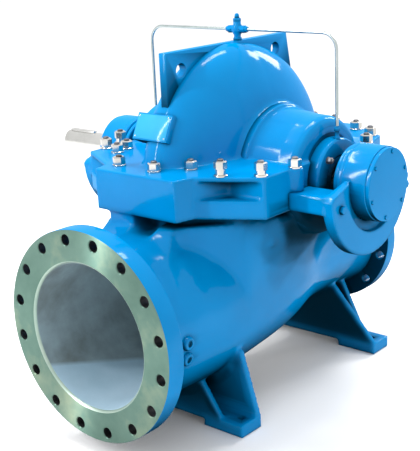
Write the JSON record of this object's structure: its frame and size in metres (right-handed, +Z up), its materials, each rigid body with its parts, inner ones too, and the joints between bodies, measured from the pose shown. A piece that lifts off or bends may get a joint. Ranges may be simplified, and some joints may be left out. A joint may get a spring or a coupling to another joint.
{
  "type": "double suction pump",
  "caption": "Axially split double suction pump with in-line suction and discharge flanges, volute casing on feet, shaft running through bearings at both ends, and flush piping",
  "frame": {"origin": "on the floor under the middle of the pump's bounding box", "axes": "+X along the shaft from the drive end to the free end, +Y from the suction flange to the discharge flange, +Z up"},
  "size_m": [1.244, 1.1714, 1.097],
  "materials": {
    "casting_enamel": "glossy bright blue enamel on cast iron",
    "flange_metal": "machined pale grey-green flange metal, rim painted blue",
    "nameplate_enamel": "blank light blue plate",
    "bright_steel": "ground and polished steel",
    "dark_steel": "dark oiled steel"
  },
  "bodies": {
    "casing": {"discharge_flange": "flange_metal", "drive_end_bearing_bracket": "casting_enamel", "drive_end_bearing_housing": "casting_enamel", "drive_end_flush_pipe": "bright_steel", "drive_end_inner_bearing_cover": "casting_enamel", "drive_end_outer_bearing_cover": "casting_enamel", "drive_end_pipe_fitting": "casting_enamel", "drive_end_seal_gland": "casting_enamel", "drive_end_tee_nut": "casting_enamel", "flush_tee": "casting_enamel", "front_foot": "casting_enamel", "lifting_plate": "casting_enamel", "lower_casing": "casting_enamel", "nameplate": "nameplate_enamel", "nameplate_pad": "casting_enamel", "non_drive_end_bearing_bracket": "casting_enamel", "non_drive_end_bearing_housing": "casting_enamel", "non_drive_end_flush_pipe": "bright_steel", "non_drive_end_inner_bearing_cover": "casting_enamel", "non_drive_end_outer_bearing_cover": "casting_enamel", "non_drive_end_pipe_fitting": "casting_enamel", "non_drive_end_seal_gland": "casting_enamel", "non_drive_end_tee_nut": "casting_enamel", "rear_foot": "casting_enamel", "suction_flange": "flange_metal", "suction_gauge_plug_1": "casting_enamel", "suction_gauge_plug_2": "casting_enamel", "upper_casing": "casting_enamel", "vent_plug": "casting_enamel"},
    "rotor": {"shaft": "bright_steel", "shaft_key": "bright_steel", "drive_end_shaft_sleeve": "bright_steel", "non_drive_end_shaft_sleeve": "bright_steel", "drive_end_deflector": "dark_steel", "non_drive_end_deflector": "dark_steel"}
  },
  "joints": [
    {"name": "shaft_spin", "type": "hinge", "parent": "casing", "child": "rotor", "pos_m": [0.122, 0.08125, 0.658], "axis": [1, 0, 0], "continuous": true}
  ]
}
